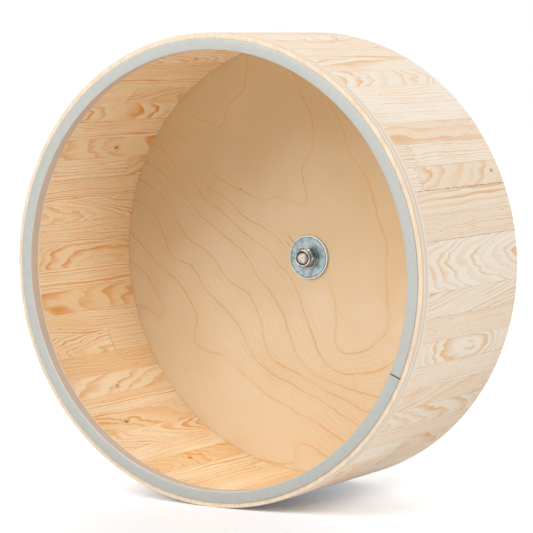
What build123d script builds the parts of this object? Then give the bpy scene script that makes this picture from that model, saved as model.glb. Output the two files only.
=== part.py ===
from build123d import *
import math
import os

# Rodent exercise wheel: a drum of edge-glued pine staves between a plywood ring and a plywood
# disc, turning on a ball bearing round a fixed steel axle. Millimetres.
# The axle lies along Y. The open side faces -Y, and the axle's free end points to +Y, at the
# cage wall. The origin is on the axle, where the mounting washer meets the cage wall.

# Drum
drum_radius = 154.3
wall_thickness = 4.3
running_width = 118.0
stave_count = 60
staves_per_node = 2
first_joint_angle = 3.2
rear_edge_chamfer = 1.2

# Plywood ring and disc
ring_thickness = 9.0
ring_width = 10.0
disc_thickness = 9.0

# Angle-section trim round the ring's inner edge, with one butt joint
trim_metal = 0.8
trim_face_width = 7.6
trim_return_depth = 8.0
trim_joint_width = 0.6
trim_joint_angle = -23.5

# Ball bearing, 8 x 22 x 7
bearing_bore_radius = 4.0
bearing_outer_radius = 11.0
bearing_width = 7.0
inner_race_radius = 6.05
race_edge_chamfer = 0.3
shield_thickness = 0.3
shield_seat_radius = 9.5
shield_recess = 0.1
shield_gap = 0.25

# Axle
thread_radius = 4.0
tip_chamfer = 0.7
relief_radius = 3.4
free_length = 38.0
shoulder_radius = 5.9
spanner_size = 17.0
spanner_height = 6.0

# Washers, nut and spacer
large_washer_radius = 15.0
large_washer_thickness = 1.5
small_washer_radius = 8.5
small_washer_thickness = 1.0
mounting_washer_radius = 15.0
mounting_washer_thickness = 1.5
spacer_radius = 6.0
nut_size = 13.0
nut_hex_height = 4.9
nut_collar_height = 2.4
nut_collar_radius = 6.1
nut_lip_thickness = 1.2
nut_lip_fold = 0.3
nut_chamfer_drop = 0.5
tip_proud = 0.4

# Clearances
bore_clearance = 0.02
washer_clearance = 0.2
disc_to_washer = 0.3
disc_to_collar = 1.5

# Places along the axle, worked forward from the cage wall at zero
collar_back = -mounting_washer_thickness
collar_front = collar_back - spanner_height
disc_back = collar_front - disc_to_collar
disc_front = disc_back - disc_thickness
bearing_centre = (disc_back + disc_front) / 2
race_back = bearing_centre + bearing_width / 2
race_front = bearing_centre - bearing_width / 2
ring_back = disc_front - running_width
ring_front = ring_back - ring_thickness
trim_front = ring_front - trim_metal
large_washer_back = disc_front - disc_to_washer
large_washer_front = large_washer_back - large_washer_thickness
small_washer_front = large_washer_front - small_washer_thickness
nut_collar_back = small_washer_front - nut_hex_height
nut_front = nut_collar_back - nut_collar_height
tip_front = nut_front - tip_proud

# Radii that follow from the sizes above
running_radius = drum_radius - wall_thickness
ring_inner_radius = drum_radius - ring_width
trim_inner_radius = ring_inner_radius - trim_metal
trim_outer_radius = trim_inner_radius + trim_face_width
thread_bore_radius = thread_radius + bore_clearance
washer_bore_radius = thread_radius + washer_clearance
shield_bore_radius = inner_race_radius + shield_gap
stave_angle = 360 / stave_count


def turned(points, arc=360):
    """Revolves a profile of (radius, place along the axle) points about the axle."""
    return revolve(make_face(Polyline(*points, close=True)), Axis.Y, revolution_arc=arc)


def sleeve(inner, outer, front, back):
    """A round tube on the axle."""
    return turned([(inner, front), (outer, front), (outer, back), (inner, back)])


def hexagon(across_flats, front, back):
    """A hexagonal bar on the axle, with a flat facing up."""
    outline = Plane.XZ * RegularPolygon(across_flats / 2, 6, major_radius=False)
    return Pos(0, front, 0) * extrude(outline, amount=back - front, dir=(0, 1, 0))


def staves(first):
    """Neighbouring staves of the drum wall, each one a bevelled strip with its own joint faces."""
    stave = turned(
        [
            (running_radius, ring_back),
            (drum_radius, ring_back),
            (drum_radius, disc_back - rear_edge_chamfer),
            (drum_radius - rear_edge_chamfer, disc_back),
            (running_radius, disc_back),
        ],
        stave_angle,
    )
    joints = [first_joint_angle + stave_angle * (first + n + 1) for n in range(staves_per_node)]
    return Compound(children=[Rot(0, -angle, 0) * stave for angle in joints])


def front_ring():
    """Plywood ring that closes the wall's front edge and keeps the bedding in."""
    return sleeve(ring_inner_radius, drum_radius, ring_front, ring_back)


def back_disc():
    """Plywood disc glued inside the wall, flush with its rear edge and bored for the bearing."""
    return sleeve(bearing_outer_radius, running_radius, disc_front, disc_back)


def rim_trim():
    """Metal angle over the ring's inner edge, rolled into one hoop whose ends nearly meet."""
    return_back = trim_front + trim_return_depth
    hoop = turned(
        [
            (trim_inner_radius, trim_front),
            (trim_outer_radius, trim_front),
            (trim_outer_radius, ring_front),
            (ring_inner_radius, ring_front),
            (ring_inner_radius, return_back),
            (trim_inner_radius, return_back),
        ],
        360 - math.degrees(trim_joint_width / trim_outer_radius),
    )
    half_joint = math.degrees(trim_joint_width / trim_outer_radius) / 2
    return Rot(0, -trim_joint_angle + half_joint, 0) * hoop


def bearing_inner_race():
    """Race that stands still on the axle."""
    return sleeve(bearing_bore_radius + bore_clearance, inner_race_radius, race_front, race_back)


def bearing_outer_race():
    """Race pressed into the disc, with a seat for a shield at each side. Behind them it is solid."""
    cut = race_edge_chamfer
    front_seat = race_front + shield_recess + shield_thickness
    back_seat = race_back - shield_recess - shield_thickness
    return turned(
        [
            (shield_bore_radius, front_seat),
            (shield_seat_radius, front_seat),
            (shield_seat_radius, race_front),
            (bearing_outer_radius - cut, race_front),
            (bearing_outer_radius, race_front + cut),
            (bearing_outer_radius, race_back - cut),
            (bearing_outer_radius - cut, race_back),
            (shield_seat_radius, race_back),
            (shield_seat_radius, back_seat),
            (shield_bore_radius, back_seat),
        ]
    )


def bearing_shield(front):
    """Thin sheet-metal cover that closes one side of the bearing, just clear of the inner race."""
    return sleeve(shield_bore_radius, shield_seat_radius, front, front + shield_thickness)


def axle():
    """Turned axle: threaded front end, bearing seat, shoulder, spanner flats, relief and stud."""
    front_end = turned(
        [
            (0, tip_front),
            (thread_radius - tip_chamfer, tip_front),
            (thread_radius, tip_front + tip_chamfer),
            (thread_radius, race_back),
            (shoulder_radius, race_back),
            (shoulder_radius, collar_front),
            (0, collar_front),
        ]
    )
    stud = turned(
        [
            (0, collar_back),
            (relief_radius, collar_back),
            (relief_radius, 0),
            (thread_radius, 0),
            (thread_radius, free_length - tip_chamfer),
            (thread_radius - tip_chamfer, free_length),
            (0, free_length),
        ]
    )
    return front_end + hexagon(spanner_size, collar_front, collar_back) + stud


def nut_body():
    """Lock nut: a hexagon with chamfered corners and a round collar folded over the insert."""
    corner_radius = nut_size / math.sqrt(3)
    flat_radius = nut_size / 2
    envelope = turned(
        [
            (0, small_washer_front),
            (flat_radius, small_washer_front),
            (corner_radius, small_washer_front - nut_chamfer_drop),
            (corner_radius, nut_collar_back + nut_chamfer_drop),
            (flat_radius, nut_collar_back),
            (0, nut_collar_back),
        ]
    )
    body = hexagon(nut_size, nut_collar_back, small_washer_front) & envelope
    fold = nut_lip_fold
    collar = turned(
        [
            (0, nut_front),
            (nut_collar_radius - fold, nut_front),
            (nut_collar_radius, nut_front + fold),
            (nut_collar_radius, nut_collar_back),
            (0, nut_collar_back),
        ]
    )
    insert_seat = sleeve(0, nut_collar_radius - nut_lip_thickness, nut_front, nut_collar_back)
    thread = sleeve(0, thread_bore_radius, nut_front, small_washer_front)
    return body + collar - insert_seat - thread


def nut_insert():
    """Nylon ring held in the nut's collar, which grips the thread."""
    return sleeve(
        thread_bore_radius,
        nut_collar_radius - nut_lip_thickness,
        nut_front + nut_lip_fold,
        nut_collar_back,
    )


def washer(radius, front, back):
    """Plain washer that slips over the thread."""
    return sleeve(washer_bore_radius, radius, front, back)


def front_spacer():
    """Thin ring that bears on the inner race alone, so that the large washer clears the disc."""
    return washer(spacer_radius, large_washer_back, race_front)


pieces = {
    "front_ring": front_ring(),
    "back_disc": back_disc(),
    "rim_trim": rim_trim(),
    "bearing_outer_race": bearing_outer_race(),
    "bearing_inner_race": bearing_inner_race(),
    "bearing_shield_front": bearing_shield(race_front + shield_recess),
    "bearing_shield_rear": bearing_shield(race_back - shield_recess - shield_thickness),
    "axle": axle(),
    "nut_body": nut_body(),
    "nut_insert": nut_insert(),
    "small_washer": washer(small_washer_radius, small_washer_front, large_washer_front),
    "large_washer": washer(large_washer_radius, large_washer_front, large_washer_back),
    "front_spacer": front_spacer(),
    "mounting_washer": washer(mounting_washer_radius, collar_back, 0),
}
for first in range(0, stave_count, staves_per_node):
    pieces[f"staves_{first // staves_per_node + 1:02d}"] = staves(first)

os.makedirs("parts", exist_ok=True)
for name, shape in pieces.items():
    export_step(shape, f"parts/{name}.step")
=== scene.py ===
import math
import random

import bmesh
import bpy
import numpy as np
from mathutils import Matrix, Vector

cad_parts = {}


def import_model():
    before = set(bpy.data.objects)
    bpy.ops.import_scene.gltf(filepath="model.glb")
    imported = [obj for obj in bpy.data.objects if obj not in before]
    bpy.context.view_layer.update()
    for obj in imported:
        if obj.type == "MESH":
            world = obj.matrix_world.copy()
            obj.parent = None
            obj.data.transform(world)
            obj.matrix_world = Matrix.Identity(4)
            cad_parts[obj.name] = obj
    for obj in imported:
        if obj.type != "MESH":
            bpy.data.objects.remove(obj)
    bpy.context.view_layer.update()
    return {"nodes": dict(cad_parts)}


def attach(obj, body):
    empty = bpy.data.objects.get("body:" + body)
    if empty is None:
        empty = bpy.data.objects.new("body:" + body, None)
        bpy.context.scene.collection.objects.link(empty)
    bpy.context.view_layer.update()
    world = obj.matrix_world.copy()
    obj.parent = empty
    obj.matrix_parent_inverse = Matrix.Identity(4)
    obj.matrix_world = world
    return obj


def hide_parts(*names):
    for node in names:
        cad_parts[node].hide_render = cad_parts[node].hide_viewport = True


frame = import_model()
MM = 0.001
rng = random.Random(41)

# Sizes in millimetres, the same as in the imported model. The axle lies along y
DRUM_R = 154.3
WALL = 4.3
RUN_R = DRUM_R - WALL
RING_FRONT = -145.0
RING_BACK = -136.0
RING_WIDTH = 10.0
DISC_FRONT = -18.0
DISC_BACK = -9.0
STAVES = 60
STAVE_ANGLE = 360 / STAVES
STAVE_WIDTH = math.radians(STAVE_ANGLE) * DRUM_R
FIRST_JOINT = 3.2
TRIM_METAL = 0.8
TRIM_FACE = 7.6
TRIM_RETURN = 8.0
TRIM_R = DRUM_R - RING_WIDTH - TRIM_METAL
TRIM_JOINT = -23.5
BEARING_R = 11.0
LARGE_R = 15.0
SMALL_R = 8.5
WASHER_BORE = 4.2
NUT_FLATS = 13.0
NUT_COLLAR_R = 6.1
NUT_LIP_R = 4.9
THREAD_R = 4.0
RELIEF_R = 3.4
SHOULDER_R = 5.9
SPANNER_FLATS = 17.0

# Places on y: the hub's stack from the disc forward, then the axle from the bearing to its free end
LARGE_BACK = DISC_FRONT - 0.3
LARGE_FRONT = LARGE_BACK - 1.5
SMALL_FRONT = LARGE_FRONT - 1.0
NUT_COLLAR_BACK = SMALL_FRONT - 4.9
NUT_FRONT = NUT_COLLAR_BACK - 2.4
TIP = NUT_FRONT - 0.4
RACE_BACK = -10.0
SPANNER_FRONT = -7.5
SPANNER_BACK = -1.5
STUD_END = 38.0

# Fine forms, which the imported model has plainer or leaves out
REAR_ROUND = 1.5
RING_ROUND = 0.5
STAVE_BEVEL = 0.08
INNER_BEVEL = 0.3
TRIM_GAP = 0.9
THREAD_PITCH = 1.25
THREAD_ROOT = 3.32
THREAD_DEPTH = THREAD_R - THREAD_ROOT

# How finely the round pieces are cut
LATHE_STEPS = 192
RIM_STEPS = 240
NUT_STEPS = 144
AXLE_STEPS = 64
THREAD_STEPS = 8
ROW_STEP = 5.0

# Depth of the ring's glue lines behind its front face
PLY_GLUE = (2.15, 4.35, 6.45)
# Short mineral flecks in the disc's face: x, z, half length and half width
FLECKS = [(-14.5, 11.5, 4.5, 0.6), (-16.5, 8.0, 3.0, 0.4), (-55.5, 45.5, 0.9, 0.7)]


# Materials
def rgb(r, g, b):
    """An 8-bit screen colour as a linear colour."""

    def lin(v):
        v /= 255
        return v / 12.92 if v <= 0.04045 else ((v + 0.055) / 1.055) ** 2.4

    return (lin(r), lin(g), lin(b), 1.0)


class Mat:
    """A principled material with short names for the nodes it is made of."""

    def __init__(self, name):
        self.mat = bpy.data.materials.new(name)
        self.mat.use_nodes = True
        self.tree = self.mat.node_tree
        self.bsdf = next(n for n in self.tree.nodes if n.type == "BSDF_PRINCIPLED")

    def put(self, socket, value):
        if hasattr(value, "is_output"):
            self.tree.links.new(value, socket)
        else:
            socket.default_value = value

    def shader(self, **values):
        for name, value in values.items():
            self.put(self.bsdf.inputs[name.replace("_", " ")], value)
        return self.mat

    def node(self, kind, inputs=(), **settings):
        n = self.tree.nodes.new(kind)
        for key, value in settings.items():
            setattr(n, key, value)
        for i, value in enumerate(inputs):
            if value is not None:
                self.put(n.inputs[i], value)
        return n

    def math(self, op, a, b=None, c=None, clamp=False):
        return self.node("ShaderNodeMath", (a, b, c), operation=op, use_clamp=clamp).outputs[0]

    def add(self, a, b):
        return self.math("ADD", a, b)

    def sub(self, a, b):
        return self.math("SUBTRACT", a, b)

    def mul(self, a, b):
        return self.math("MULTIPLY", a, b)

    def vmul(self, v, xyz):
        return self.node("ShaderNodeVectorMath", (v, xyz), operation="MULTIPLY").outputs[0]

    def vadd(self, v, w):
        return self.node("ShaderNodeVectorMath", (v, w), operation="ADD").outputs[0]

    def vmix(self, fac, a, b):
        n = self.node("ShaderNodeMix", data_type="VECTOR")
        self.put(n.inputs[0], fac)
        self.put(n.inputs[4], a)
        self.put(n.inputs[5], b)
        return n.outputs[1]

    def mix(self, fac, a, b, blend="MIX"):
        n = self.node("ShaderNodeMix", data_type="RGBA", blend_type=blend)
        self.put(n.inputs[0], fac)
        self.put(n.inputs[6], a)
        self.put(n.inputs[7], b)
        return n.outputs[2]

    def attr(self, name):
        return self.node("ShaderNodeAttribute", attribute_name=name).outputs["Vector"]

    def split(self, v):
        return self.node("ShaderNodeSeparateXYZ", (v,)).outputs[:]

    def join(self, x, y, z):
        return self.node("ShaderNodeCombineXYZ", (x, y, z)).outputs[0]

    def noise(self, v, detail=2.0, rough=0.5):
        n = self.node("ShaderNodeTexNoise", noise_dimensions="3D")
        self.put(n.inputs["Vector"], v)
        n.inputs["Scale"].default_value = 1.0
        n.inputs["Detail"].default_value = detail
        n.inputs["Roughness"].default_value = rough
        return n.outputs[0]

    def line_noise(self, w, detail=1.0):
        n = self.node("ShaderNodeTexNoise", noise_dimensions="1D")
        self.put(n.inputs["W"], w)
        n.inputs["Scale"].default_value = 1.0
        n.inputs["Detail"].default_value = detail
        return n.outputs[0]

    def step(self, x, lo, hi, out_lo=0.0, out_hi=1.0):
        """Runs smoothly from out_lo to out_hi while x goes from lo to hi."""
        n = self.node("ShaderNodeMapRange", (x, lo, hi, out_lo, out_hi), interpolation_type="SMOOTHSTEP")
        return n.outputs[0]

    def bump(self, height, strength, distance):
        n = self.node("ShaderNodeBump")
        n.inputs["Strength"].default_value = strength
        n.inputs["Distance"].default_value = distance
        self.put(n.inputs["Height"], height)
        return n.outputs[0]


def pine():
    """Sawn pine. Each point knows its place in the log it was cut from, in millimetres."""
    m = Mat("pine")
    across, along, tooth = m.split(m.attr("seam"))
    edge_left, edge_right, inside = m.split(m.attr("edges"))

    # Which of the stave's two boards this point is in, past or before the toothed joint
    teeth = m.sub(m.math("PINGPONG", across, 2.0), 1.0)
    past = m.add(along, m.mul(teeth, tooth))
    side = m.math("GREATER_THAN", past, 0.0)
    log = m.vmix(side, m.attr("log_a"), m.attr("log_b"))
    info = m.vmix(side, m.attr("info_a"), m.attr("info_b"))
    spacing, tone, seed = m.split(info)
    shift = m.join(m.mul(seed, 17.0), m.mul(seed, 5.0), m.mul(seed, 11.0))
    placed = m.vadd(log, shift)
    a, v, b = m.split(log)

    # Distance from the heart, wavering along the board and pushed aside by a knot
    wobble = m.noise(m.vmul(placed, (0.07, 0.014, 0.07)), 2.0, 0.55)
    fine_wobble = m.noise(m.vmul(placed, (0.35, 0.03, 0.35)), 1.0, 0.5)
    radius = m.math("SQRT", m.add(m.mul(a, a), m.mul(b, b)))
    radius = m.add(radius, m.mul(m.sub(wobble, 0.5), 7.0))
    radius = m.add(radius, m.mul(m.sub(fine_wobble, 0.5), 0.9))
    kx, ky, size = m.split(m.attr("knot"))
    reach = m.math("SQRT", m.add(m.mul(kx, kx), m.mul(m.mul(ky, ky), 0.45)))
    near = m.math("DIVIDE", reach, m.math("MAXIMUM", size, 0.01))
    push = m.math("EXPONENT", m.mul(m.mul(near, near), -0.18))
    radius = m.add(radius, m.mul(m.mul(push, size), 1.7))

    # Year rings: pale early wood that darkens into late wood, uneven from year to year
    count = m.math("DIVIDE", radius, spacing)
    count = m.add(count, m.mul(m.line_noise(m.add(m.mul(count, 0.37), seed), 1.0), 1.3))
    part = m.math("FRACT", count)
    late = m.mul(m.step(part, 0.35, 0.9), m.step(part, 0.93, 1.0, 1.0, 0.0))
    weight = m.step(m.line_noise(m.add(m.mul(count, 0.43), m.mul(seed, 3.1))), 0.3, 0.7, 0.35, 1.0)
    patchy = m.step(m.noise(m.vmul(placed, (0.09, 0.02, 0.09)), 2.0), 0.35, 0.7, 0.55, 1.15)
    late = m.mul(m.mul(late, weight), patchy)
    fibre = m.noise(m.vmul(placed, (2.6, 0.07, 2.6)), 3.0, 0.6)
    blotch = m.noise(m.vmul(placed, (0.05, 0.012, 0.05)), 2.0)

    # Colours, warmer inside the drum than outside
    warmth = m.math("ADD", m.mul(tone, 0.5), 0.5, clamp=True)
    pale = m.mix(warmth, rgb(251, 244, 232), rgb(245, 222, 195))
    pale = m.mix(m.step(blotch, 0.45, 0.75, 0.0, 0.3), pale, rgb(246, 224, 192))
    pale_inside = m.mix(warmth, rgb(252, 240, 214), rgb(242, 214, 170))
    pale_inside = m.mix(m.step(blotch, 0.45, 0.75, 0.0, 0.5), pale_inside, rgb(244, 205, 146))
    pale = m.mix(inside, pale, pale_inside)
    dark = m.mix(warmth, rgb(240, 200, 148), rgb(232, 180, 126))
    dark = m.mix(inside, dark, rgb(228, 164, 90))
    colour = m.mix(late, pale, dark)
    colour = m.mix(m.step(fibre, 0.35, 0.7, 0.0, 0.2), colour, dark)
    canal = m.step(m.noise(m.vmul(placed, (2.2, 0.11, 2.2)), 0.0), 0.76, 0.84, 0.0, 0.5)
    colour = m.mix(canal, colour, rgb(170, 112, 66))

    # The knot and the darker wood round it
    heart = m.mul(m.step(near, 0.5, 1.05, 1.0, 0.0), m.step(size, 0.1, 0.5))
    knot_rings = m.math("PINGPONG", m.add(m.mul(reach, 1.6), m.mul(wobble, 3.0)), 0.5)
    knot_colour = m.mix(knot_rings, rgb(160, 88, 44), rgb(205, 140, 84))
    halo = m.mul(m.step(near, 0.8, 2.4, 0.55, 0.0), m.step(size, 0.1, 0.5))
    colour = m.mix(halo, colour, rgb(222, 158, 96))
    colour = m.mix(heart, colour, knot_colour)

    # Glue lines: the toothed joint, and broken lines along both edges
    seam = m.step(m.math("ABSOLUTE", past), 0.10, 0.45, 0.55, 0.0)
    seam = m.mul(seam, m.step(m.math("ABSOLUTE", along), 20.0, 24.0, 1.0, 0.0))
    dashes = m.step(m.line_noise(m.add(m.mul(v, 0.16), m.mul(seed, 7.0)), 2.0), 0.38, 0.6, 0.25, 1.0)
    left = m.mul(m.step(across, 0.05, 0.5, 1.0, 0.0), edge_left)
    right = m.mul(m.step(m.sub(STAVE_WIDTH, across), 0.05, 0.5, 1.0, 0.0), edge_right)
    glue = m.mul(m.math("MAXIMUM", left, right), dashes)
    colour = m.mix(m.math("MAXIMUM", seam, glue), colour, rgb(140, 84, 46))

    height = m.add(m.mul(fibre, 0.6), m.mul(late, 0.5))
    m.put(m.bsdf.inputs["Normal"], m.bump(height, 0.25, 0.00012))
    return m.shader(Base_Color=colour, Roughness=m.step(fibre, 0.3, 0.7, 0.52, 0.68), Specular_IOR_Level=0.35)


def birch():
    """Rotary-cut birch face. The figure is the contour lines of a smooth height over the sheet."""
    m = Mat("birch_veneer")
    place = m.attr("place")
    level, steep, shown = m.split(m.attr("figure"))
    x, y, z = m.split(place)

    # Main lines: how far in mm each point lies from the nearest whole level
    wander = m.noise(m.vmul(place, (0.09, 0.09, 0.09)), 2.0, 0.6)
    level = m.add(level, m.mul(m.sub(wander, 0.5), m.mul(steep, 3.6)))
    steep = m.math("MAXIMUM", steep, 0.002)
    off = m.math("DIVIDE", m.math("PINGPONG", level, 0.5), steep)
    ragged = m.noise(m.vmul(place, (0.5, 0.5, 0.5)), 2.0, 0.7)
    strength = m.step(m.noise(m.vmul(place, (0.035, 0.035, 0.035)), 1.0), 0.35, 0.6, 0.45, 1.0)
    edge = m.step(ragged, 0.3, 0.7, 0.8, 1.5)
    line = m.mul(m.step(off, 0.15, edge, 1.0, 0.0), m.mul(shown, strength))
    halo = m.mul(m.step(off, 0.0, 7.0, 1.0, 0.0), shown)

    # Finer lines at every quarter level, only where the main lines crowd
    fine_off = m.math("DIVIDE", m.math("PINGPONG", m.mul(level, 4.0), 0.5), m.mul(steep, 4.0))
    crowded = m.mul(m.step(steep, 0.03, 0.055), m.step(ragged, 0.35, 0.6))
    fine = m.mul(m.step(fine_off, 0.1, 0.7, 1.0, 0.0), crowded)

    # Fibres, which run at a slant over the sheet
    slant = m.join(m.add(m.mul(x, 0.80), m.mul(z, 0.60)), y, m.sub(m.mul(z, 0.80), m.mul(x, 0.60)))
    streak = m.noise(m.vmul(slant, (0.35, 1.0, 0.05)), 3.0, 0.6)
    fleck = m.noise(m.vmul(slant, (1.9, 1.0, 0.35)), 2.0, 0.6)
    cloud = m.noise(m.vmul(place, (0.02, 0.02, 0.02)), 2.0, 0.5)

    # Colours: clouds of warmer tone at random, and a painted shade that makes the sheet darker and warmer
    # towards its top
    tone_and_top_shade = m.math("ADD", m.step(cloud, 0.3, 0.7, -0.2, 0.2), m.step(z, -100.0, 120.0), clamp=True)
    colour = m.mix(tone_and_top_shade, rgb(235, 216, 186), rgb(221, 193, 151))
    colour = m.mix(m.step(streak, 0.4, 0.75, 0.0, 0.3), colour, rgb(230, 200, 160))
    colour = m.mix(m.step(fleck, 0.55, 0.8, 0.0, 0.25), colour, rgb(226, 194, 152))
    colour = m.mix(m.mul(halo, 0.15), colour, rgb(232, 194, 142))
    colour = m.mix(m.mul(fine, 0.2), colour, rgb(216, 170, 112))
    colour = m.mix(m.mul(line, 0.46), colour, rgb(218, 166, 92))
    for at_x, at_z, half_length, half_width in FLECKS:
        dx, dz = m.sub(x, at_x), m.sub(z, at_z)
        along = m.math("ABSOLUTE", m.sub(m.mul(dx, 0.62), m.mul(dz, 0.78)))
        across = m.math("ABSOLUTE", m.add(m.mul(dx, 0.78), m.mul(dz, 0.62)))
        ends = m.step(along, half_length * 0.6, half_length, 1.0, 0.0)
        mark = m.mul(ends, m.step(across, 0.1, half_width, 1.0, 0.0))
        colour = m.mix(m.mul(mark, 0.75), colour, rgb(178, 112, 42))
    # Painted shade: a darker brown band round the disc's rim, where it meets the wall
    outer = m.step(m.math("SQRT", m.add(m.mul(x, x), m.mul(z, z))), RUN_R - 1.0, RUN_R, 0.0, 0.2)
    colour = m.mix(outer, colour, rgb(188, 142, 98))
    m.put(m.bsdf.inputs["Normal"], m.bump(m.add(fleck, m.mul(streak, 0.5)), 0.15, 0.0001))
    return m.shader(Base_Color=colour, Roughness=m.step(streak, 0.3, 0.7, 0.55, 0.66), Specular_IOR_Level=0.2)


def ply():
    """Plywood ring: a birch face in front, and the layers' edges round the outside. Its turn attribute
    holds how far a point lies round the rim and in from it, in millimetres."""
    m = Mat("ring_ply")
    place = m.attr("place")
    _, y, _ = m.split(place)
    along, depth, _ = m.split(m.attr("turn"))
    front = m.sub(y, RING_FRONT)
    uneven = m.sub(m.noise(m.join(m.mul(along, 0.1), 0.0, 0.0), 2.0), 0.5)
    layer = m.add(front, m.mul(uneven, 0.5))
    grainy = m.noise(m.join(m.mul(along, 0.5), m.mul(front, 3.0), 0.0), 3.0, 0.65)
    dots = m.noise(m.join(m.mul(along, 2.6), m.mul(front, 2.6), 0.0), 2.0, 0.6)
    face = m.noise(m.vmul(place, (0.25, 1.0, 0.06)), 3.0, 0.6)
    cream = m.mix(m.step(face, 0.35, 0.7), rgb(234, 214, 190), rgb(224, 200, 172))
    tan = m.mix(grainy, rgb(240, 221, 199), rgb(231, 207, 182))
    pale = m.mix(grainy, rgb(247, 234, 218), rgb(241, 224, 204))
    grey = m.mix(dots, rgb(236, 218, 200), rgb(224, 202, 182))
    colour = tan
    for glue, wood in zip(PLY_GLUE, (pale, grey, pale)):
        colour = m.mix(m.step(layer, glue - 0.15, glue + 0.15), colour, wood)
    for glue in PLY_GLUE:
        line = m.step(m.math("ABSOLUTE", m.sub(layer, glue)), 0.0, 0.25, 0.2, 0.0)
        colour = m.mix(line, colour, rgb(190, 148, 112))
    colour = m.mix(m.step(front, 0.15, 0.35, 1.0, 0.0), colour, cream)
    rounded = m.mul(m.step(front, 0.02, 0.2), m.step(front, 0.3, 0.7, 1.0, 0.0))
    colour = m.mix(m.mul(rounded, 0.5), colour, rgb(196, 156, 118))

    # Painted shadow: a near-black strip on the ring under the trim's butt joint, for the shade in the gap
    joint_shadow = m.math("ABSOLUTE", m.sub(along, math.radians(360 + TRIM_JOINT) * DRUM_R))
    joint_shadow = m.mul(m.step(joint_shadow, 0.5, 0.9, 1.0, 0.0), m.step(depth, 2.6, 3.0))
    colour = m.mix(m.mul(joint_shadow, m.step(front, 0.1, 0.3, 0.95, 0.0)), colour, rgb(48, 40, 34))
    m.put(m.bsdf.inputs["Normal"], m.bump(m.add(grainy, m.mul(dots, 0.5)), 0.2, 0.00012))
    return m.shader(Base_Color=colour, Roughness=m.step(grainy, 0.3, 0.7, 0.55, 0.7), Specular_IOR_Level=0.3)


def metal(name, base, tint, rough, lines, tarnish, metallic=1.0, rim=None, bore=None):
    """Bare or plated metal, clouded, with fine turned or rolled lines. rim and bore are
    radii in mm: a washer's edge, which gets a painted highlight with a painted dark ring inside it, and a
    hoop's inner side, which gets a painted warm reflection lighter than its face."""
    m = Mat(name)
    place = m.node("ShaderNodeTexCoord").outputs["Object"]
    x, y, z = m.split(place)
    radius = m.math("SQRT", m.add(m.mul(x, x), m.mul(z, z)))
    cloud = m.noise(m.vmul(place, (260.0, 260.0, 260.0)), 3.0, 0.6)
    rings = m.line_noise(m.add(m.mul(radius, 5200.0), m.mul(y, 1900.0)), 2.0)
    grit = m.noise(m.vmul(place, (2600.0, 2600.0, 2600.0)), 2.0, 0.6)
    colour = m.mix(m.step(cloud, 0.35, 0.7), rgb(*base), rgb(*tint))
    colour = m.mix(m.step(grit, 0.55, 0.8, 0.0, tarnish), colour, rgb(*[v * 0.72 for v in tint]))
    if rim:
        # Painted highlight at the washer's edge, and a painted dark ring just inside it
        inset = m.sub(rim * MM, radius)
        painted_dark_ring = m.step(m.math("ABSOLUTE", m.sub(inset, 1.1 * MM)), 0.1 * MM, 0.5 * MM, 0.6, 0.0)
        colour = m.mix(painted_dark_ring, colour, rgb(*[v * 0.6 for v in tint]))
        colour = m.mix(m.step(inset, 0.3 * MM, 0.7 * MM, 0.9, 0.0), colour, rgb(222, 230, 230))
    if bore:
        # Painted reflection: the hoop's inner side made lighter and warmer, for the wood it reflects
        inner = m.step(radius, (bore + 0.15) * MM, (bore + 0.4) * MM, 0.9, 0.0)
        colour = m.mix(inner, colour, rgb(212, 200, 190))
    spread = m.add(m.step(cloud, 0.3, 0.7, rough, rough + 0.12), m.mul(rings, lines * 0.1))
    m.put(m.bsdf.inputs["Normal"], m.bump(m.add(m.mul(rings, lines), m.mul(grit, 0.3)), 0.2, 0.00004))
    return m.shader(Base_Color=colour, Roughness=spread, Metallic=metallic)


def nylon():
    """Dull dark blue plastic."""
    m = Mat("nylon")
    place = m.node("ShaderNodeTexCoord").outputs["Object"]
    cloud = m.noise(m.vmul(place, (700.0, 700.0, 700.0)), 3.0, 0.6)
    colour = m.mix(m.step(cloud, 0.35, 0.7), rgb(38, 52, 84), rgb(62, 78, 110))
    m.put(m.bsdf.inputs["Normal"], m.bump(cloud, 0.2, 0.00005))
    return m.shader(Base_Color=colour, Roughness=m.step(cloud, 0.3, 0.7, 0.4, 0.55))


PINE = pine()
BIRCH = birch()
PLY = ply()
# The trim's inner side gets the painted reflection through bore
TRIM = metal("satin_aluminium", (177, 178, 172), (174, 175, 169), 0.44, lines=0.5, tarnish=0.02,
             metallic=0.3, bore=TRIM_R)
# The washers' edge at LARGE_R gets the painted highlight and painted dark ring through rim
WASHER_ZINC = metal("zinc_sheet", (160, 172, 174), (120, 135, 138), 0.3, lines=0.5, tarnish=0.4, rim=LARGE_R)
ZINC = metal("zinc_plate", (196, 192, 184), (120, 124, 124), 0.2, lines=0.6, tarnish=0.3)
ZINC_DARK = metal("zinc_thread", (196, 190, 180), (136, 133, 128), 0.25, lines=0.8, tarnish=0.25)
CHROME = metal("bearing_steel", (200, 200, 198), (178, 180, 182), 0.16, lines=0.8, tarnish=0.1)
NYLON = nylon()


# Meshes
def ring_point(radius, y, degrees):
    """A point in metres, from its distance from the axle and place along it in millimetres."""
    t = math.radians(degrees)
    return (radius * math.cos(t) * MM, y * MM, radius * math.sin(t) * MM)


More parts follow.
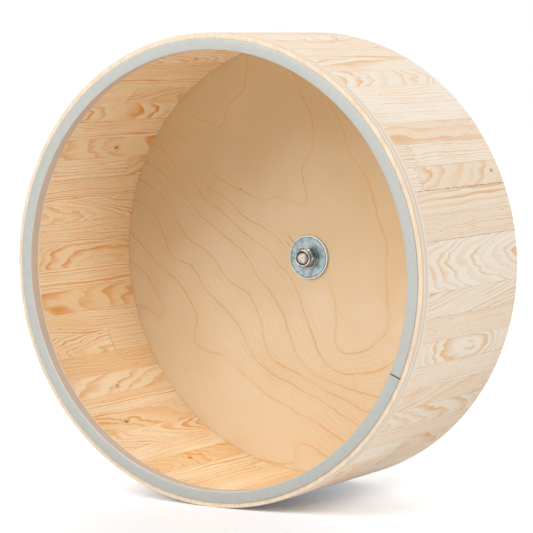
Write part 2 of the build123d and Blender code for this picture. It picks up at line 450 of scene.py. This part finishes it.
def make(name, verts, faces, material, body, nodes, attributes=None, sharp=35.0):
    """A mesh object that rides on a body and stands for its CAD nodes."""
    mesh = bpy.data.meshes.new(name)
    mesh.from_pydata([tuple(v) for v in verts], [], [tuple(f) for f in faces])
    mesh.validate()
    skin = bmesh.new()
    skin.from_mesh(mesh)
    bmesh.ops.recalc_face_normals(skin, faces=skin.faces)
    skin.to_mesh(mesh)
    skin.free()
    for key, values in (attributes or {}).items():
        layer = mesh.attributes.new(key, "FLOAT_VECTOR", "POINT")
        layer.data.foreach_set("vector", np.asarray(values, np.float32).ravel())
    mesh.materials.append(material)
    mesh.polygons.foreach_set("use_smooth", [True] * len(mesh.polygons))
    obj = bpy.data.objects.new(name, mesh)
    bpy.context.scene.collection.objects.link(obj)
    mesh.set_sharp_from_angle(angle=math.radians(sharp))
    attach(obj, body)
    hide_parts(*nodes)


def grid_faces(rows, columns, closed_rows=False, closed_columns=False, flip=False):
    """Four-sided faces between neighbouring points of a grid."""
    faces = []
    for i in range(rows if closed_rows else rows - 1):
        for j in range(columns if closed_columns else columns - 1):
            i2, j2 = (i + 1) % rows, (j + 1) % columns
            quad = (i * columns + j, i2 * columns + j, i2 * columns + j2, i * columns + j2)
            faces.append(quad[::-1] if flip else quad)
    return faces


def lathe(name, profile, material, body, nodes, angles=None, extra=None):
    """Turns a closed outline of (radius, y) about the axle. With angles given, it stops at its two ends."""
    whole = angles is None
    if whole:
        angles = [360 * i / LATHE_STEPS for i in range(LATHE_STEPS)]
    verts = [ring_point(r, y, t) for t in angles for r, y in profile]
    faces = grid_faces(len(angles), len(profile), whole, True)
    if not whole and angles[-1] - angles[0] < 360:
        faces.append(tuple(range(len(profile))))
        last = (len(angles) - 1) * len(profile)
        faces.append(tuple(last + i for i in range(len(profile)))[::-1])
    attributes = extra(angles, profile) if extra else None
    make(name, verts, faces, material, body, nodes, attributes)


def arc(cx, cy, r, start, end, steps=4):
    """Points along a round corner, from one angle in degrees to another."""
    turns = [math.radians(start + (end - start) * i / steps) for i in range(steps + 1)]
    return [(cx + r * math.cos(t), cy + r * math.sin(t)) for t in turns]


def round_row(y, radius, count):
    """A row of a skin about the axle where it is round."""
    return (y, [radius] * count)


def hex_radius(flats, degrees, corner=0.35):
    """A hexagon's radius at an angle, with its corners on X and slightly rounded."""
    t = (degrees + 30) % 60 - 30
    r = flats / 2 / math.cos(math.radians(30 - abs(t)))
    return min(r, flats / math.sqrt(3) - corner * (1 - abs(t) / 30) ** 6)


def hex_row(y, flats, cone, count):
    """A row of a skin about the axle where it is six-sided, its corners cut back to the radius cone."""
    return (y, [min(hex_radius(flats, 360 * j / count), cone) for j in range(count)])


# Wall
def board(pith=None, lean=(0.0, 0.0), bow=0.0, ring=2.0, tone=0.0, seed=None):
    """Where a board sits in its log. pith is the heart's place in mm, across the board from its middle and
    below its outer face. lean is how far it drifts over 100 mm towards the rear, and bow bends it."""
    if pith is None:
        # In turn a flat-sawn board, a board cut at a slant to the rings and a quarter-sawn one
        pick = rng.random()
        if pick < 0.4:
            pith = (rng.uniform(-14, 14), rng.uniform(14, 40))
            lean = (rng.uniform(-9, 9), rng.choice((-1, 1)) * rng.uniform(3, 12))
            bow = rng.uniform(-2.5, 2.5)
        elif pick < 0.7:
            pith = (rng.choice((-1, 1)) * rng.uniform(20, 45), rng.uniform(8, 30))
            lean = (rng.uniform(-6, 6), rng.uniform(-6, 6))
        else:
            pith = (rng.choice((-1, 1)) * rng.uniform(40, 80), rng.uniform(-6, 12))
            lean = (rng.uniform(-5, 5), rng.uniform(-5, 5))
        ring = rng.choice((1.3, 1.7, 2.1, 2.6, 3.2)) * rng.uniform(0.9, 1.1)
        tone = rng.uniform(-1.0, 1.0)
    return {"pith": pith, "lean": lean, "bow": bow, "ring": ring, "tone": tone,
            "seed": rng.uniform(0, 30) if seed is None else seed}


# Staves that the photograph shows best, by number: 0 to 9 and 53 to 59 from outside, the rest from inside.
# a is the board, and b the one behind its joint. The joint's place is on y, and at 90 it lies past the stave,
# which then has none. dark is how strong the glue lines are along the two edges
HINTS = {
    0: dict(a=dict(pith=(-8, 22), lean=(1, -15), ring=2.4, tone=-0.6, seed=4.2), joint=90, dark=(0.03, 0.8)),
    1: dict(a=dict(pith=(-60, 6), lean=(2, 2), ring=1.3, tone=0.3), joint=90, dark=(0.25, 0.2)),
    2: dict(a=dict(pith=(52, 24), lean=(3, 0), ring=4.2, tone=0.4), joint=90, dark=(0.15, 1.0)),
    3: dict(a=dict(pith=(40, 10), ring=2.0, tone=-0.4),
            b=dict(pith=(3, 20), lean=(4, 12), ring=2.6, tone=0.7),
            joint=-124, tooth=2.2, knot=(9, -22, 0.9), dark=(0.8, 0.25)),
    4: dict(a=dict(pith=(30, 14), ring=2.2, tone=0.2),
            b=dict(pith=(-34, 12), lean=(2, 4), ring=2.0, tone=-0.3),
            joint=-119, tooth=3.0, dark=(0.25, 0.2)),
    5: dict(a=dict(pith=(-18, 30), lean=(3, 4), ring=3.6, tone=0.9), joint=90, dark=(0.2, 0.2)),
    6: dict(a=dict(pith=(-55, 4), ring=1.6, tone=-0.8), joint=90, dark=(0.15, 0.15)),
    7: dict(a=dict(pith=(44, 12), ring=2.2, tone=-0.7), joint=90, dark=(0.15, 0.15)),
    8: dict(a=dict(pith=(2, 24), lean=(3, 13), ring=2.4, tone=-0.2), joint=90, dark=(0.15, 0.15)),
    9: dict(a=dict(pith=(-6, 12), lean=(3, -4), ring=4.4, tone=-0.2), joint=90, dark=(0.15, 0.15)),
    20: dict(a=dict(pith=(50, 8), ring=2.4, tone=-0.2)),
    21: dict(a=dict(pith=(-46, 6), lean=(2, 3), ring=1.9, tone=-0.8)),
    22: dict(a=dict(pith=(4, 26), lean=(2, 12), ring=2.8, tone=-0.6)),
    23: dict(a=dict(pith=(34, 10), ring=2.2, tone=-0.9)),
    24: dict(a=dict(pith=(-3, 30), lean=(-3, -10), ring=3.0, tone=-0.3), knot=(8.5, -62, 1.3)),
    25: dict(a=dict(pith=(48, 12), ring=2.6, tone=-0.8), dark=(0.1, 0.5)),
    26: dict(a=dict(pith=(-58, 5), ring=1.7, tone=-0.4), dark=(0.5, 0.1)),
    41: dict(a=dict(pith=(50, 4), ring=3.2, tone=-0.3), dark=(0.2, 0.4)),
    42: dict(a=dict(pith=(-42, 8), ring=3.6, tone=0.3), dark=(0.4, 0.2)),
    43: dict(a=dict(pith=(45, 10), ring=2.6, tone=-0.5), dark=(0.2, 0.3)),
    44: dict(a=dict(pith=(-60, 6), ring=1.6, tone=1.0), dark=(0.3, 0.3)),
    45: dict(a=dict(pith=(38, 16), lean=(2, 4), ring=3.4, tone=-0.2), dark=(0.3, 0.2)),
    46: dict(a=dict(pith=(56, 6), ring=2.4, tone=0.5), dark=(0.2, 0.2)),
    53: dict(a=dict(pith=(-6, 22), lean=(0, 12), ring=3.0, tone=0.1), joint=90, dark=(0.2, 0.2)),
    54: dict(a=dict(pith=(12, 12), lean=(18, 5), ring=3.2, tone=0.5), joint=90, dark=(0.25, 0.2)),
    55: dict(a=dict(pith=(56, 10), lean=(2, 0), ring=1.4, tone=-0.2), joint=90, dark=(0.2, 0.25)),
    56: dict(a=dict(pith=(0, 17), bow=6, ring=2.3, tone=-0.3), joint=90, dark=(0.25, 0.2)),
    57: dict(a=dict(pith=(-60, 0), ring=1.2, tone=0.2), joint=90, dark=(0.2, 0.25)),
    58: dict(a=dict(pith=(22, 14), lean=(15, 2), ring=2.3, tone=-0.2), joint=90, dark=(0.25, 0.25)),
    59: dict(a=dict(pith=(8, 22), lean=(1, -15), ring=2.4, tone=-0.6, seed=4.2), joint=90, dark=(0.25, 0.03)),
}
# A place past every stave, and then how often a stave whose hint says nothing of it, or that has no hint,
# has a joint and a plain joint. Only staves with no hint get a knot by chance
NO_JOINT = 90.0
JOINTED = 0.22
PLAIN_JOINT = 0.6
KNOTTY = 0.12
# A knot of no size, far off: mm across and along the board, then its radius
NO_KNOT = (400.0, 400.0, 0.0)


def stave_rows():
    """Places along a stave, and how far its rounded rear edge has dropped at each."""
    straight_end = DISC_BACK - REAR_ROUND - ROW_STEP
    rows = [(float(y), 0.0) for y in np.arange(RING_BACK, straight_end, ROW_STEP)]
    for i in range(1, 6):
        t = math.radians(90 * i / 5)
        rows.append((DISC_BACK - REAR_ROUND + REAR_ROUND * math.sin(t), REAR_ROUND * (1 - math.cos(t))))
    return rows


def stave(index):
    """One stave: outer face, rounded rear edge, inner face, and fine bevels along its joints."""
    hint = HINTS.get(index, {})
    first = board(**hint["a"]) if "a" in hint else board()
    second = board(**hint["b"]) if "b" in hint else board()
    joint = hint.get("joint", rng.uniform(-120, -30) if rng.random() < JOINTED else NO_JOINT)
    tooth = hint.get("tooth", 0.0 if rng.random() < PLAIN_JOINT else 2.6)
    knot = hint.get("knot", NO_KNOT)
    if not hint and rng.random() < KNOTTY:
        knot = (rng.uniform(2, 14), rng.uniform(-120, -30), rng.uniform(0.8, 1.5))
    dark = hint.get("dark", (rng.uniform(0.02, 0.22), rng.uniform(0.02, 0.22)))
    start = FIRST_JOINT + STAVE_ANGLE * index
    width = STAVE_WIDTH
    side = STAVE_BEVEL / width
    fractions = [0.0, side] + [i / 6 for i in range(1, 6)] + [1 - side, 1.0]
    rows = [(y, DRUM_R - drop, True) for y, drop in stave_rows()]
    rows += [(DISC_BACK, RUN_R + INNER_BEVEL, False), (DISC_BACK - INNER_BEVEL, RUN_R, False)]
    rows += [(y, RUN_R, False) for y, drop in reversed(stave_rows()) if drop == 0.0]
    verts, log_a, log_b, seam, edges, knots = [], [], [], [], [], []
    for y, radius, outside in rows:
        for f in fractions:
            r = radius
            if f in (0.0, 1.0):
                r += -STAVE_BEVEL if outside else STAVE_BEVEL
            verts.append(ring_point(r, y, start + STAVE_ANGLE * f))
            across = f * width
            depth = DRUM_R - r
            for store, cut in ((log_a, first), (log_b, second)):
                s = (y - RING_BACK) / 100 - 0.6
                a = across - width / 2 - cut["pith"][0] - cut["lean"][0] * s
                b = depth - cut["pith"][1] - cut["lean"][1] * s - cut["bow"] * s * s * 4
                store.append((a, y, b))
            seam.append((across, y - joint, tooth))
            edges.append((dark[0], dark[1], 0.0 if outside else 1.0))
            knots.append((across - knot[0], y - knot[1], knot[2]))
    info = [[(c["ring"], c["tone"], c["seed"])] * len(verts) for c in (first, second)]
    faces = grid_faces(len(rows), len(fractions), True, False)
    n = len(fractions)
    joint_face = [i * n for i in range(len(rows))]
    faces.append(tuple(joint_face))
    faces.append(tuple(i + n - 1 for i in reversed(joint_face)))
    return verts, faces, {"log_a": log_a, "log_b": log_b, "info_a": info[0], "info_b": info[1],
                          "seam": seam, "edges": edges, "knot": knots}


def wall():
    """The drum's wall, two staves to a piece."""
    for pair in range(STAVES // 2):
        verts, faces, data = [], [], {}
        for index in (2 * pair, 2 * pair + 1):
            v, f, d = stave(index)
            base = len(verts)
            verts += v
            faces += [tuple(i + base for i in face) for face in f]
            for key, values in d.items():
                data.setdefault(key, []).extend(values)
        name = f"staves_{pair + 1:02d}"
        make(name + "_wood", verts, faces, PINE, "wheel", [name], data)


# Disc, ring and trim
# The disc's grain lines, by level: x and z in mm of points along each. Levels that aren't whole numbers
# lie between lines, and shape the height there
FIGURE = {
    5: [(-100, 97), (-90, 94), (-80, 90), (-72, 89), (-68, 95), (-65, 105), (-55, 112), (-51, 122),
        (-50, 138)],
    4.6: [(-55, 75), (-30, 70), (-25, 105)],
    4: [(-120, 90), (-100, 75), (-85, 62), (-75, 53), (-65, 48), (-55, 45), (-45, 40), (-35, 38), (-28, 41),
        (-20, 39), (-12, 38), (-7, 35), (-3, 37), (-4, 50), (-5, 65), (1, 73), (3, 88), (0, 100), (-6, 110),
        (-10, 122), (-15, 128)],
    3.4: [(12, 70), (9, 100), (30, 40), (38, 0), (40, -35), (12, 25)],
    3: [(-115, 77), (-100, 62), (-85, 49), (-70, 39), (-55, 28), (-40, 20), (-25, 11), (-12, 0), (8, -11),
        (16, -18), (20, -30), (21, -45), (22, -60), (28, -65), (38, -64), (50, -58), (60, -48), (62, -35),
        (60, -18), (60, 0), (60, 15), (55, 25), (52, 35), (48, 48), (40, 62), (28, 82), (20, 100), (13, 112)],
    2.5: [(80, 20), (80, -25), (60, 70), (40, 100)],
    2: [(-122, 72), (-95, 50), (-72, 30), (-50, 13), (-30, 0), (-15, -15), (-8, -28), (-3, -42), (3, -55),
        (10, -70), (20, -77), (40, -78), (55, -75), (64, -69), (95, -50)],
    1: [(-130, 60), (-97, 33), (-75, 17), (-55, 3), (-40, -18), (-25, -35), (-15, -55), (-7, -72), (5, -82),
        (30, -89), (52, -93)],
    0: [(-135, 47), (-117, 33), (-105, 15), (-92, 5), (-75, -8), (-65, -20), (-50, -28), (-42, -40),
        (-38, -50), (-35, -65), (-27, -75), (-10, -82), (5, -88), (30, -98), (50, -106)],
    -1: [(-145, 35), (-128, 25), (-120, 10), (-112, -5), (-97, -10), (-88, -22), (-75, -35), (-65, -43),
         (-55, -55), (-48, -68), (-35, -80), (-15, -88), (10, -99), (35, -112)],
    -2: [(-147, 10), (-135, -2), (-110, -20), (-100, -32), (-93, -42), (-93, -55), (-95, -63), (-85, -70),
         (-70, -73), (-60, -80), (-45, -90), (-30, -100), (-5, -111), (15, -120), (25, -125)],
    -3: [(-150, -8), (-135, -18), (-125, -32), (-120, -45), (-130, -45), (-145, -40), (-10, -142),
         (-12, -133), (-5, -130), (5, -133), (13, -138)],
    -2.5: [(-100, -85), (-60, -105), (-30, -120)],
}
# Stretches where a line fades out: x, z and reach in mm
QUIET = [(0, 0, 17), (-95, 60, 16), (100, -20, 30), (-60, -112, 28), (-115, 105, 20), (45, 100, 22)]


def height_field(xs, zs):
    """A thin-plate surface through the levels of FIGURE, and how steep it is per millimetre."""
    scale = 100
    smoothing = 0.0002
    p = np.array([point for points in FIGURE.values() for point in points], float) / scale
    level = np.array([h for h, points in FIGURE.items() for _ in points], float)

    def kernel(d2):
        return 0.5 * d2 * np.log(d2 + 1e-9)

    n = len(p)
    k = kernel(((p[:, None] - p[None]) ** 2).sum(2)) + np.eye(n) * smoothing
    q = np.hstack([np.ones((n, 1)), p])
    system = np.block([[k, q], [q.T, np.zeros((3, 3))]])
    w = np.linalg.solve(system, np.concatenate([level, np.zeros(3)]))

    def at(x, z):
        s = np.stack([x, z], -1) / scale
        d2 = ((s[:, None] - p[None]) ** 2).sum(2)
        return kernel(d2) @ w[:n] + w[n] + s @ w[n + 1:]

    h = at(xs, zs)
    step = 0.5
    slope = np.hypot(at(xs + step, zs) - h, at(xs, zs + step) - h) / step
    return h, slope


def disc():
    """Disc with the figure on its front face and, shifted, on its rear one."""
    chamfer = 0.15
    rear_shift, rear_place = 0.4, 300
    radii = [BEARING_R, BEARING_R + 0.6] + [14 + 3.0 * i for i in range(45)] + [RUN_R - 1.0, RUN_R - 0.03]
    count = RIM_STEPS
    turns = [360 * i / count for i in range(count)]
    verts, figure, place = [], [], []
    for y, sign in ((DISC_FRONT, 1), (DISC_BACK, -1)):
        ring = [(r, t) for r in radii for t in turns]
        x = np.array([r * math.cos(math.radians(t)) for r, t in ring])
        z = np.array([r * math.sin(math.radians(t)) for r, t in ring])
        h, slope = height_field(x * sign, z)
        for (r, t), a, c, level, steep in zip(ring, x, z, h, slope):
            edge = chamfer if r in (radii[0], radii[-1]) else 0.0
            verts.append(ring_point(r, y + sign * edge, t))
            plain = max(math.exp(-((a * sign - quiet_x) ** 2 + (c - quiet_z) ** 2) / reach ** 2)
                        for quiet_x, quiet_z, reach in QUIET)
            figure.append((level + (rear_shift if sign < 0 else 0.0), steep, 1.0 - plain))
            place.append((a * sign + (rear_place if sign < 0 else 0), y, c))
    n = len(radii)
    front = grid_faces(n, count, False, True)
    back = [tuple(i + n * count for i in f)[::-1] for f in front]
    face = n * count
    rim = face - count
    pairs = [(j, (j + 1) % count) for j in range(count)]
    bore = [(j, j2, j2 + face, j + face) for j, j2 in pairs]
    outer = [(rim + j, rim + j + face, rim + j2 + face, rim + j2) for j, j2 in pairs]
    make("back_disc_veneered", verts, front + back + bore + outer, BIRCH, "wheel", ["back_disc"],
         {"figure": figure, "place": place})


def ring_data(angles, profile):
    """The ring's attributes: each point's place, and how far it lies round the rim and in from it."""
    place, turn = [], []
    for t in angles:
        for r, y in profile:
            x, _, z = ring_point(r, y, t)
            place.append((x / MM, y, z / MM))
            turn.append((t * math.pi / 180 * DRUM_R, DRUM_R - r, 0.0))
    return {"place": place, "turn": turn}


def front_ring():
    """Plywood ring with a rounded outer edge, and a fine bevel where it meets the wall."""
    inner, outer, soft = DRUM_R - RING_WIDTH, DRUM_R, RING_ROUND
    bevel = 0.04
    profile = [(inner, RING_FRONT), (outer - soft, RING_FRONT)]
    profile += arc(outer - soft, RING_FRONT + soft, soft, -90, 0)[1:]
    profile += [(outer, RING_BACK - bevel), (outer - bevel, RING_BACK), (inner, RING_BACK)]
    angles = [360 * i / RIM_STEPS for i in range(RIM_STEPS + 1)]
    lathe("front_ring_ply", profile, PLY, "wheel", ["front_ring"], angles, ring_data)


def trim():
    """Angle over the ring's inner edge, with a rolled corner and a butt joint."""
    inner, outer = TRIM_R, TRIM_R + TRIM_FACE
    ring_side = inner + TRIM_METAL
    front = RING_FRONT - TRIM_METAL
    back = front + TRIM_RETURN
    roll, edge, burr, lift = 0.55, 0.3, 0.2, 0.02
    profile = arc(inner + roll, front + roll, roll, 180, 270)
    profile += arc(outer - edge, front + edge, edge, -90, 0, 3)
    profile += [(outer, RING_FRONT - lift), (ring_side, RING_FRONT - lift), (ring_side, back - burr)]
    profile += [(ring_side - burr, back), (inner + burr, back), (inner, back - burr)]
    gap = math.degrees(TRIM_GAP / outer) / 2
    first, last = TRIM_JOINT + gap, TRIM_JOINT + 360 - gap
    angles = [first + (last - first) * i / RIM_STEPS for i in range(RIM_STEPS + 1)]
    lathe("rim_trim_metal", profile, TRIM, "wheel", ["rim_trim"], angles)


# Hub
def washer(name, node, bore, outer, front, back):
    """Plain washer with rounded outer edges."""
    e = min(0.22, (back - front) / 4)
    profile = [(bore + e, front), (outer - e * 1.4, front)] + arc(outer - e, front + e, e, -90, 0, 3)
    profile += arc(outer - e, back - e, e, 0, 90, 3) + [(bore + e, back), (bore, back - e), (bore, front + e)]
    lathe(name, profile, WASHER_ZINC, "axle_set", [node])


def nut():
    """Lock nut: chamfered hexagon, round collar folded over the insert, and a bore."""
    count = NUT_STEPS
    back, hex_front, front = SMALL_FRONT, NUT_COLLAR_BACK, NUT_FRONT
    collar, lip, fold = NUT_COLLAR_R, NUT_LIP_R, 0.6
    seat = front + 2.0
    rows = [round_row(back, 4.3, count), round_row(back, 6.3, count)]
    hexes = [(back - 0.02, 6.5), (back - 0.45, 7.4), (back - 0.6, 9.0), (hex_front + 0.75, 9.0),
             (hex_front + 0.6, 7.4), (hex_front + 0.15, 6.55)]
    rows += [hex_row(y, NUT_FLATS, cone, count) for y, cone in hexes]
    rows += [round_row(hex_front, 6.2, count), round_row(hex_front - 0.1, collar, count)]
    rows += [round_row(front + fold, collar, count)]
    for degrees in (22, 45, 68, 90):
        t = math.radians(degrees)
        rows.append(round_row(front + fold - fold * math.sin(t), collar - fold + fold * math.cos(t), count))
    rows += [round_row(front, lip + 0.25, count), round_row(front + 0.12, lip, count)]
    rows += [round_row(seat, lip, count), round_row(seat, 4.05, count), round_row(back, 4.05, count)]
    verts = [ring_point(r, y, 360 * j / count) for y, radii in rows for j, r in enumerate(radii)]
    faces = grid_faces(len(rows), count, True, True, flip=True)
    make("nut_body_plated", verts, faces, ZINC, "axle_set", ["nut_body"], sharp=25.0)


def insert():
    """Plastic ring in the nut's collar, with a rounded lip at its front."""
    bore, soft = THREAD_R + 0.02, 0.4
    back, lip = NUT_FRONT + 1.9, NUT_FRONT + 0.7
    profile = [(bore, back), (bore, lip)] + arc(4.5, lip, soft, 180, 270, 3)[1:]
    profile += [(NUT_LIP_R, NUT_FRONT + 0.5), (NUT_LIP_R, back)]
    lathe("nut_insert_ring", profile[::-1], NYLON, "axle_set", ["nut_insert"])


def thread_rows(start, end, tip):
    """Rows of a screw thread from start to end, chamfered down to its root at the place tip."""
    rows = []
    steps = int(abs(end - start) / THREAD_PITCH * THREAD_STEPS)
    for i in range(steps + 1):
        y = start + (end - start) * i / steps
        radii = []
        for j in range(AXLE_STEPS):
            phase = (y / THREAD_PITCH - j / AXLE_STEPS) % 1.0
            crest = min(1.0, max(0.0, (abs(phase * 2 - 1) - 0.08) * 1.25))
            radii.append(min(THREAD_ROOT + THREAD_DEPTH * crest, 3.3 + abs(y - tip)))
        rows.append((y, radii))
    return rows


def axle():
    """Threaded front end, bearing seat, shoulder, spanner collar, relief and threaded stud."""
    count = AXLE_STEPS
    front_end = [(TIP + 0.35, 0.02), (TIP + 0.3, 0.5), (TIP, 0.95), (TIP, 3.2)]
    seat = [(-18.9, THREAD_R - 0.1), (-18.7, THREAD_R), (RACE_BACK, THREAD_R), (RACE_BACK, SHOULDER_R - 0.2),
            (RACE_BACK + 0.2, SHOULDER_R), (SPANNER_FRONT, SHOULDER_R)]
    collar = [(SPANNER_FRONT, 8.2), (SPANNER_FRONT + 0.35, 9.0), (SPANNER_FRONT + 0.6, 12.0),
              (SPANNER_BACK - 0.6, 12.0), (SPANNER_BACK - 0.35, 9.0), (SPANNER_BACK, 8.2)]
    relief = [(SPANNER_BACK, RELIEF_R), (0.0, RELIEF_R)]
    stud_end = [(STUD_END, 3.2), (STUD_END, 0.95), (STUD_END - 0.3, 0.5), (STUD_END - 0.35, 0.02)]
    rows = [round_row(y, r, count) for y, r in front_end]
    rows += thread_rows(TIP + 0.02, -19.0, TIP)
    rows += [round_row(y, r, count) for y, r in seat]
    rows += [hex_row(y, SPANNER_FLATS, cone, count) for y, cone in collar]
    rows += [round_row(y, r, count) for y, r in relief]
    rows += thread_rows(0.05, STUD_END - 0.05, STUD_END)
    rows += [round_row(y, r, count) for y, r in stud_end]
    verts = [ring_point(r, y, 360 * j / count) for y, radii in rows for j, r in enumerate(radii)]
    faces = grid_faces(len(rows), count, False, True)
    faces.append(tuple(range(count)))
    faces.append(tuple((len(rows) - 1) * count + j for j in range(count))[::-1])
    make("axle_turned", verts, faces, ZINC_DARK, "axle_set", ["axle"], sharp=30.0)


def repaint(node, material):
    """Gives a piece that is shown as packed its finish."""
    frame["nodes"][node].data.materials.clear()
    frame["nodes"][node].data.materials.append(material)


wall()
disc()
front_ring()
trim()
washer("large_washer_plated", "large_washer", WASHER_BORE, LARGE_R, LARGE_FRONT, LARGE_BACK)
washer("small_washer_plated", "small_washer", WASHER_BORE, SMALL_R, SMALL_FRONT, LARGE_FRONT)
washer("mounting_washer_plated", "mounting_washer", WASHER_BORE, LARGE_R, SPANNER_BACK, 0.0)
nut()
insert()
axle()
for node in ("bearing_outer_race", "bearing_inner_race", "bearing_shield_front", "bearing_shield_rear"):
    repaint(node, CHROME)
repaint("front_spacer", ZINC)


# Stage, light and camera, in metres
def stage():
    """Pale floor, made white to the camera by a glow that is weaker round the wheel's foot, which paints a
    soft shade there over the lamps' own shadow, with a painted bluish tint against the wood's warm light.
    """
    size = 6.0
    shade_x, shade_y = 0.05, -0.21
    mesh = bpy.data.meshes.new("floor")
    z = -DRUM_R * MM
    corners = [(-size, -size, z), (size, -size, z), (size, size, z), (-size, size, z)]
    mesh.from_pydata(corners, [], [(0, 1, 2, 3)])
    floor = bpy.data.objects.new("floor", mesh)
    bpy.context.scene.collection.objects.link(floor)
    m = Mat("floor")
    paths = m.node("ShaderNodeLightPath").outputs
    seen = m.math("MAXIMUM", paths["Is Camera Ray"],
                  m.math("MAXIMUM", paths["Is Glossy Ray"], paths["Is Transmission Ray"]))
    m.shader(Base_Color=(0.92, 0.93, 0.945, 1.0), Roughness=0.9, Specular_IOR_Level=0.0)
    glow = m.node("ShaderNodeEmission")
    x, y, _ = m.split(m.node("ShaderNodeTexCoord").outputs["Object"])
    x, y = m.sub(x, shade_x), m.sub(y, shade_y)
    away = m.math("SQRT", m.add(m.mul(x, x), m.mul(y, y)))
    # Painted shade: the glow is weak near the foot, so the lit floor shows grey there and the lamps' shadow
    # shows too
    near = m.step(away, 0.05, 0.28, 0.05, 0.62)
    m.put(glow.inputs["Strength"], m.mul(seen, m.add(near, m.step(away, 0.3, 1.6, 0.0, 0.3))))
    # Painted tint: bluish near the foot, against the warm light the wood throws on the floor
    m.put(glow.inputs["Color"], m.mix(m.step(away, 0.08, 0.3), (0.9, 1.0, 1.1, 1.0), (1.0, 1.0, 1.0, 1.0)))
    both = m.node("ShaderNodeAddShader", (m.bsdf.outputs[0], glow.outputs[0]))
    out = next(n for n in m.tree.nodes if n.type == "OUTPUT_MATERIAL")
    m.tree.links.new(both.outputs[0], out.inputs["Surface"])
    mesh.materials.append(m.mat)


def world():
    """White to the camera and in reflections, and dimmer where it lights the object."""
    ambient, shown = 0.35, 1.0
    w = bpy.data.worlds.new("studio")
    bpy.context.scene.world = w
    w.use_nodes = True
    tree = w.node_tree
    tree.nodes.clear()
    out = tree.nodes.new("ShaderNodeOutputWorld")
    bg = tree.nodes.new("ShaderNodeBackground")
    paths = tree.nodes.new("ShaderNodeLightPath")

    def either(a, b):
        n = tree.nodes.new("ShaderNodeMath")
        n.operation = "MAXIMUM"
        tree.links.new(a, n.inputs[0])
        tree.links.new(b, n.inputs[1])
        return n.outputs[0]

    seen = either(either(paths.outputs["Is Camera Ray"], paths.outputs["Is Glossy Ray"]),
                  paths.outputs["Is Transmission Ray"])
    level = tree.nodes.new("ShaderNodeMapRange")
    tree.links.new(seen, level.inputs[0])
    level.inputs[3].default_value = ambient
    level.inputs[4].default_value = shown
    tree.links.new(level.outputs[0], bg.inputs["Strength"])
    bg.inputs["Color"].default_value = (1, 1, 1, 1)
    tree.links.new(bg.outputs[0], out.inputs["Surface"])


def lamp(name, place, aim, size, power):
    """A round white area lamp."""
    light = bpy.data.lights.new(name, "AREA")
    light.shape = "DISK"
    light.size = size
    light.energy = power
    obj = bpy.data.objects.new(name, light)
    bpy.context.scene.collection.objects.link(obj)
    obj.location = place
    away = np.array(aim) - np.array(place)
    obj.rotation_euler = Vector(away).to_track_quat("-Z", "Y").to_euler()


def camera():
    """The photograph's view, from the right and a little above."""
    tilt, turn = 84.8133, 31.0066
    cam = bpy.data.cameras.new("camera")
    cam.sensor_width = 36.0
    cam.lens = 176.39
    cam.clip_start = 0.05
    obj = bpy.data.objects.new("camera", cam)
    bpy.context.scene.collection.objects.link(obj)
    obj.location = (0.89829, -1.57025, 0.15632)
    obj.rotation_euler = (math.radians(tilt), 0.0, math.radians(turn))
    bpy.context.scene.camera = obj


stage()
world()
lamp("overhead", (-0.8, -1.8, 1.45), (0.0, -0.08, 0.0), 1.8, 35.5)
lamp("behind", (0.5, 2.2, 1.1), (0.0, -0.08, 0.0), 1.8, 14.0)
lamp("right", (2.1, -1.5, 2.0), (0.0, 0.0, 0.0), 1.2, 36.5)
camera()
bpy.context.scene.view_settings.view_transform = "Standard"
